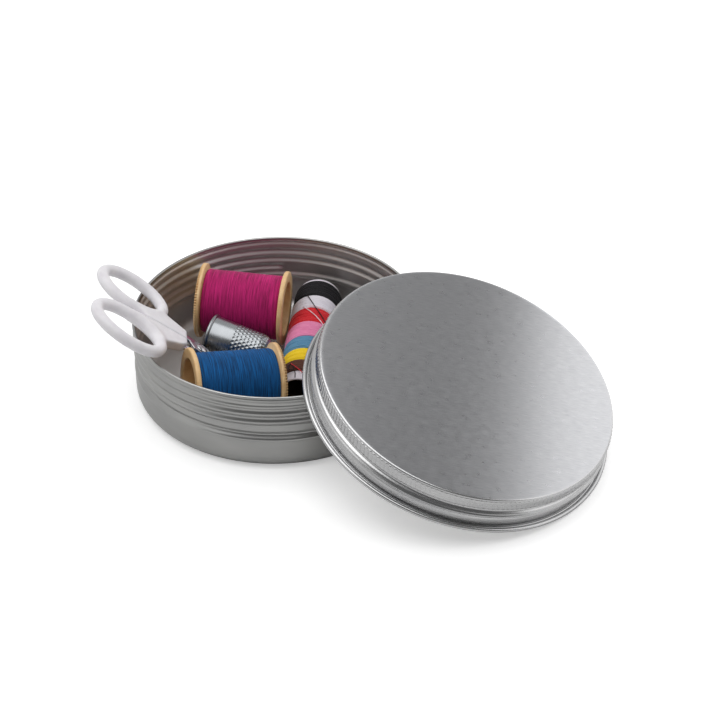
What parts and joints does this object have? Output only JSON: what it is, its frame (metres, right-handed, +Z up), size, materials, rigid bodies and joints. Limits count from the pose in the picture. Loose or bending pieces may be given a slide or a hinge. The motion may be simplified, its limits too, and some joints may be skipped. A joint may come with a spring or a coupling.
{
  "type": "sewing tin",
  "caption": "Round screw-top aluminium tin, open, its lid leaning on the rim, holding thread spools, a thimble, a striped thread roll and small scissors.",
  "frame": {"origin": "middle of the tin's underside, on the surface it stands on", "axes": "+Z up out of the tin, +X towards the side where the leaning lid lies, +Y away from the lid's low edge"},
  "size_m": [0.1649, 0.1333, 0.0457],
  "materials": {
    "aluminium": "satin, drawn",
    "lid_aluminium": "satin, fine brushed grain",
    "liner_foam": "closed-cell foam",
    "spool_plastic": "moulded, slight gloss",
    "magenta_cotton": "wound thread",
    "blue_cotton": "wound thread",
    "thimble_steel": "polished and dimpled",
    "white_card": "smooth card",
    "black_cotton": "wound thread",
    "white_cotton": "wound thread",
    "red_cotton": "wound thread",
    "pink_cotton": "wound thread",
    "sky_cotton": "wound thread",
    "yellow_cotton": "wound thread",
    "brown_cotton": "wound thread",
    "handle_plastic": "translucent moulded",
    "blade_steel": "ground"
  },
  "bodies": {
    "tin": {"tin_base": "aluminium"},
    "lid": {"tin_lid": "lid_aluminium", "lid_liner": "liner_foam"},
    "magenta_reel": {"magenta_spool": "spool_plastic", "magenta_spool_teeth": "spool_plastic", "magenta_thread": "magenta_cotton"},
    "blue_reel": {"blue_spool": "spool_plastic", "blue_spool_teeth": "spool_plastic", "blue_thread": "blue_cotton"},
    "finger_thimble": {"thimble": "thimble_steel"},
    "thread_roll": {"thread_tube": "white_card", "black_thread": "black_cotton", "white_thread": "white_cotton", "red_thread": "red_cotton", "pink_thread": "pink_cotton", "sky_thread": "sky_cotton", "yellow_thread": "yellow_cotton", "brown_thread": "brown_cotton"},
    "scissors": {"scissors_handle_rear": "handle_plastic", "scissors_blade_rear": "blade_steel", "pivot_rivet": "blade_steel"},
    "scissors_front": {"scissors_handle_front": "handle_plastic", "scissors_blade_front": "blade_steel"}
  },
  "joints": [
    {"name": "lid_lift", "type": "slide", "parent": "tin", "child": "lid", "axis": [0, 0, 1], "range_m": [0, 0.02]},
    {"name": "magenta_lift", "type": "slide", "parent": "tin", "child": "magenta_reel", "axis": [0, 0, 1], "range_m": [0, 0.028]},
    {"name": "blue_turn", "type": "hinge", "parent": "tin", "child": "blue_reel", "pos_m": [-0.02758, -0.02517, 0.01675], "axis": [0.9546, 0.2719, -0.1219], "continuous": true},
    {"name": "thimble_lift", "type": "slide", "parent": "tin", "child": "finger_thimble", "axis": [0, 0, 1], "range_m": [0, 0.03]},
    {"name": "roll_lift", "type": "slide", "parent": "tin", "child": "thread_roll", "axis": [0.483, -0.1294, 0.866], "range_m": [0, 0.01]},
    {"name": "scissors_pull", "type": "slide", "parent": "tin", "child": "scissors", "axis": [-0.798, -0.0307, 0.6018], "range_m": [0, 0.03]},
    {"name": "scissors_pivot", "type": "hinge", "parent": "scissors", "child": "scissors_front", "pos_m": [-0.02481, -0.00859, 0.01899], "axis": [0.5949, 0.1188, 0.795], "range_deg": [0, 7]}
  ]
}
